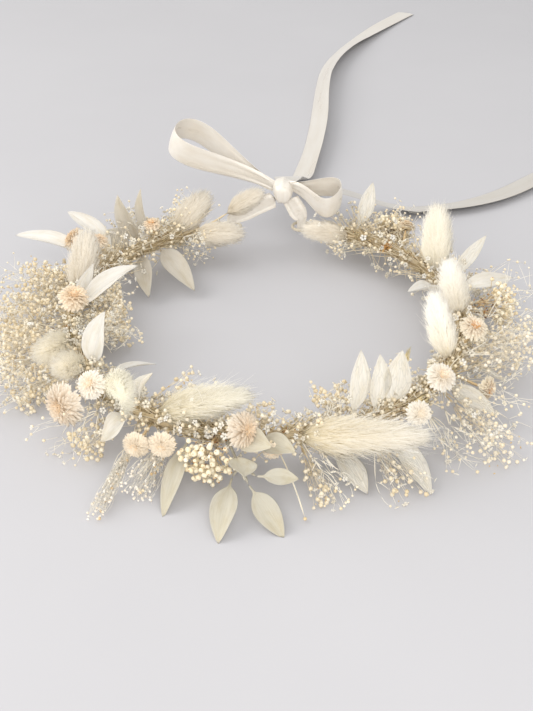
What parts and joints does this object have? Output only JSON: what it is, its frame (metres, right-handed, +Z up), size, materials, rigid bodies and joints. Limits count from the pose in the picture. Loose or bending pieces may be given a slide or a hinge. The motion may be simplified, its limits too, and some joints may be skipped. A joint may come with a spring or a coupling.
{
  "type": "flower crown",
  "caption": "Dried-flower crown: a wire hoop open at the back, bound with bunny tails, strawflowers and bleached leaves, tied with a satin ribbon bow.",
  "frame": {"origin": "middle of the head opening, on the surface that the crown lies on", "axes": "+Z up along the head opening, -Y to the crown's front, +Y to the bow, +X to the right seen from the front"},
  "size_m": [0.3783, 0.6864, 0.0636],
  "materials": {
    "floral_wire": "paper-wrapped, matt",
    "floral_tape": "crepe tape, matt",
    "satin_ribbon": "satin, glossy",
    "bunny_tail": "soft bleached hair, matt",
    "strawflower": "papery petals, satin",
    "rice_flower": "dry buds, matt",
    "gypsophila": "dry buds and twigs, matt",
    "broom": "bleached twigs, matt",
    "dried_stem": "dry straw, satin",
    "bleached_leaf": "bleached leaf, satin"
  },
  "bodies": {
    "front": {"bow_knot": "satin_ribbon", "broom_front_left": "broom", "bunny_tail_front_corner": "bunny_tail", "bunny_tail_front_left": "bunny_tail", "bunny_tail_front_right": "bunny_tail", "curled_leaves_front_left": "bleached_leaf", "gypsophila_front": "gypsophila", "hoop_wire_front": "floral_wire", "leaf_front_low": "bleached_leaf", "leaf_pair_front": "bleached_leaf", "leaf_sprig_front": "bleached_leaf", "leaves_under_front_right": "bleached_leaf", "rice_flower_front": "rice_flower", "stem_bundle": "dried_stem", "stem_tape_front": "floral_tape", "strawflower_front": "strawflower", "strawflower_front_bud": "strawflower", "strawflower_front_corner": "strawflower", "strawflower_front_corner_small": "strawflower", "strawflower_front_right": "strawflower", "strawflower_right_corner": "strawflower", "strawflowers_front_left": "strawflower", "upright_leaves_front": "bleached_leaf"},
    "left_arm": {"bunny_tail_back_left_1": "bunny_tail", "bunny_tail_back_left_2": "bunny_tail", "bunny_tail_back_left_3": "bunny_tail", "bunny_tail_left_1": "bunny_tail", "bunny_tail_left_2": "bunny_tail", "bunny_tail_left_3": "bunny_tail", "eyelet_left": "floral_wire", "gypsophila_left": "gypsophila", "hoop_wire_left": "floral_wire", "leaf_pair_left": "bleached_leaf", "leaf_star_back_left": "bleached_leaf", "outer_leaves_left": "bleached_leaf", "ribbon_tie_left": "satin_ribbon", "stem_tape_left": "floral_tape", "strawflower_back_left": "strawflower", "strawflowers_left": "strawflower", "white_leaves_left": "bleached_leaf"},
    "right_arm": {"bunny_tail_back_right_1": "bunny_tail", "bunny_tail_back_right_2": "bunny_tail", "bunny_tail_right_1": "bunny_tail", "bunny_tail_right_2": "bunny_tail", "eyelet_right": "floral_wire", "gypsophila_right": "gypsophila", "hoop_wire_right": "floral_wire", "leaves_right": "bleached_leaf", "low_leaves_right": "bleached_leaf", "ribbon_tie_right": "satin_ribbon", "rice_flower_back_right": "rice_flower", "rice_flower_right": "rice_flower", "stem_tape_right": "floral_tape", "strawflower_back_right": "strawflower", "strawflowers_right": "strawflower", "upright_leaves_back_right": "bleached_leaf"},
    "loop_left": {"bow_loop_left": "satin_ribbon"},
    "loop_right": {"bow_loop_right": "satin_ribbon"},
    "tail_back": {"ribbon_tail_back": "satin_ribbon"},
    "tail_side": {"ribbon_tail_side": "satin_ribbon"}
  },
  "joints": [
    {"name": "left_flex", "type": "hinge", "parent": "front", "child": "left_arm", "pos_m": [-0.07266, -0.05884, 0.014], "axis": [0, 0, 1], "range_deg": [0, 6]},
    {"name": "right_flex", "type": "hinge", "parent": "front", "child": "right_arm", "pos_m": [0.07266, -0.05884, 0.014], "axis": [0, 0, -1], "range_deg": [0, 6]},
    {"name": "loop_left_lift", "type": "hinge", "parent": "front", "child": "loop_left", "pos_m": [0.004, 0.098, 0.036], "axis": [0.3201, 0.9474, 0], "range_deg": [-4, 20], "stiffness_Nm_per_rad": 0.02},
    {"name": "loop_right_lift", "type": "hinge", "parent": "front", "child": "loop_right", "pos_m": [0.0145, 0.098, 0.037], "axis": [-0.4299, -0.9029, 0], "range_deg": [-4, 20], "stiffness_Nm_per_rad": 0.02},
    {"name": "tail_back_swing", "type": "hinge", "parent": "front", "child": "tail_back", "pos_m": [0.011, 0.1035, 0.033], "axis": [0, 0, 1], "range_deg": [-8, 15]},
    {"name": "tail_side_swing", "type": "hinge", "parent": "front", "child": "tail_side", "pos_m": [0.0145, 0.1025, 0.031], "axis": [0, 0, 1], "range_deg": [-8, 4]}
  ],
  "couplings": [
    {"joint": "right_flex", "follows": "left_flex", "ratio": 1}
  ]
}
